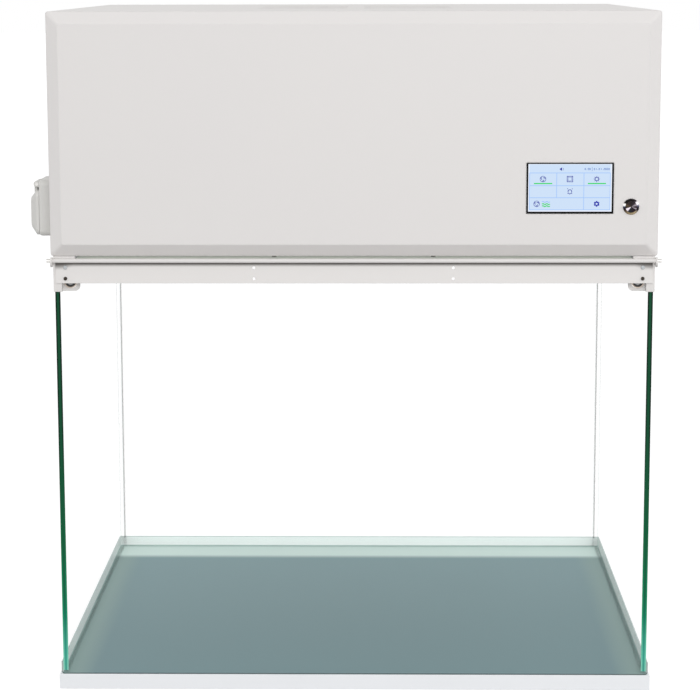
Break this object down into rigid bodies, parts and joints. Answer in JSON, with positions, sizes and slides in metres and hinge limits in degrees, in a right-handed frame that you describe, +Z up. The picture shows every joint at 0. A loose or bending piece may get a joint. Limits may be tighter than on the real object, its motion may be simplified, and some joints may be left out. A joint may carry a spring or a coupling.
{
  "type": "laminar flow hood",
  "caption": "Bench-top vertical laminar flow hood: an open-fronted glass work chamber on a board, under a white filter and fan head with a touch screen and a button.",
  "frame": {"origin": "centre of the base board's underside, where it stands on the bench", "axes": "+X to the right seen from the front, the open front faces -Y, +Z up"},
  "size_m": [0.7319, 0.5976, 0.798],
  "materials": {
    "white_board": "white laminate",
    "stainless": "brushed",
    "clear_glass": "polished",
    "sealant": "translucent grey",
    "white_powder": "powder coat",
    "zinc_sheet": "zinc plated",
    "steel": "satin",
    "dark_screw": "blackened",
    "clear_bumper": "clear soft",
    "lamp_tube": "frosted",
    "aluminium": "satin",
    "black_plastic": "fine texture",
    "motor_steel": "painted",
    "filter_paper": "fibre",
    "gasket": "foam",
    "screen_glass": "lit display",
    "polished_steel": "polished",
    "grey_plastic": "satin",
    "brass": "plated"
  },
  "bodies": {
    "cabinet": {"base_plate": "white_board", "work_tray": "stainless", "side_glass_left": "clear_glass", "side_glass_right": "clear_glass", "back_glass": "clear_glass", "glass_setting_strips": "sealant", "corner_seals": "sealant", "side_channel_left": "white_powder", "side_channel_right": "white_powder", "rear_channel": "white_powder", "front_beam": "white_powder", "front_rail": "white_powder", "rail_end_plates": "white_powder", "lamp_bracket_front_left": "white_powder", "lamp_bracket_front_right": "white_powder", "lamp_bracket_rear_left": "white_powder", "lamp_bracket_rear_right": "white_powder", "housing_shell": "white_powder", "rear_panel": "white_powder", "head_floor": "white_powder", "front_cover": "white_powder", "diffuser_grille": "white_powder", "inner_front_panel": "zinc_sheet", "fan_deck": "zinc_sheet", "inlet_ring": "zinc_sheet", "motor_bracket": "zinc_sheet", "motor_pillars": "zinc_sheet", "filter_clamps": "zinc_sheet", "prefilter_tray": "zinc_sheet", "rail_pins": "steel", "cover_screws": "steel", "lid_pin": "steel", "lid_spring": "steel", "beam_screws": "dark_screw", "beam_bumpers": "clear_bumper", "lamp_tube_left": "lamp_tube", "lamp_tube_right": "lamp_tube", "lamp_end_caps": "aluminium", "filter_frame": "aluminium", "lamp_insulators": "black_plastic", "screen_module": "black_plastic", "controller_box": "black_plastic", "power_inlet": "black_plastic", "power_supply": "black_plastic", "motor_stator": "motor_steel", "filter_pleats": "filter_paper", "prefilter_pad": "filter_paper", "filter_gasket": "gasket", "touch_screen": "screen_glass", "button_body": "polished_steel", "button_nut": "polished_steel", "socket_body": "grey_plastic", "socket_insert": "grey_plastic", "inlet_pins": "brass"},
    "impeller_rotor": {"impeller": "aluminium", "rotor_shaft": "steel"},
    "power_button_cap": {"button_cap": "polished_steel"},
    "socket_lid": {"socket_lid": "grey_plastic"}
  },
  "joints": [
    {"name": "impeller_spin", "type": "hinge", "parent": "cabinet", "child": "impeller_rotor", "pos_m": [0, 0.008, 0.69], "axis": [0, 0, 1], "continuous": true},
    {"name": "power_button_press", "type": "slide", "parent": "cabinet", "child": "power_button_cap", "axis": [0, 1, 0], "range_m": [0, 0.0025], "stiffness_N_per_m": 400, "springref_m": -0.001},
    {"name": "socket_lid_hinge", "type": "hinge", "parent": "cabinet", "child": "socket_lid", "pos_m": [-0.371, -0.232, 0.5973], "axis": [0, 1, 0], "range_deg": [0, 100], "stiffness_Nm_per_rad": 0.03, "springref_deg": -20.05}
  ]
}
